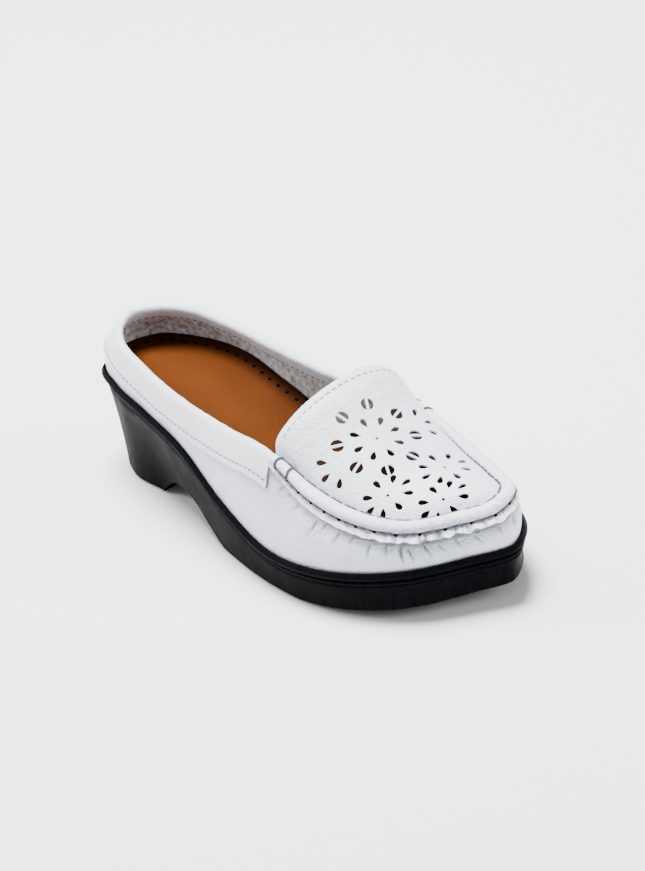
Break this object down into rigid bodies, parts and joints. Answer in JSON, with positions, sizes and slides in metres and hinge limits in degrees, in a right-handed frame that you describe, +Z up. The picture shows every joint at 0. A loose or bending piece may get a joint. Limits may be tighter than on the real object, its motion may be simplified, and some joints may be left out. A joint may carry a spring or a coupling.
{
  "type": "walking shoe",
  "caption": "Right slip-on moccasin mule: pierced white leather apron with a rolled seam, open heel collar, tan insole and black wedge sole.",
  "frame": {"origin": "on the floor, in the middle of the sole's outline", "axes": "+X from heel to toe, +Y to the inner (medial) side of the right foot, +Z up"},
  "size_m": [0.259, 0.0956, 0.082],
  "materials": {
    "sole_rubber": "black moulded rubber, satin, with a glossier lip",
    "white_leather": "soft pebbled white leather, semi-matt",
    "tan_leather": "fine-grained tan leather, matt"
  },
  "bodies": {
    "root": {"sole": "sole_rubber", "upper": "white_leather", "collar_band": "white_leather", "apron": "white_leather", "insole": "tan_leather"}
  },
  "joints": []
}
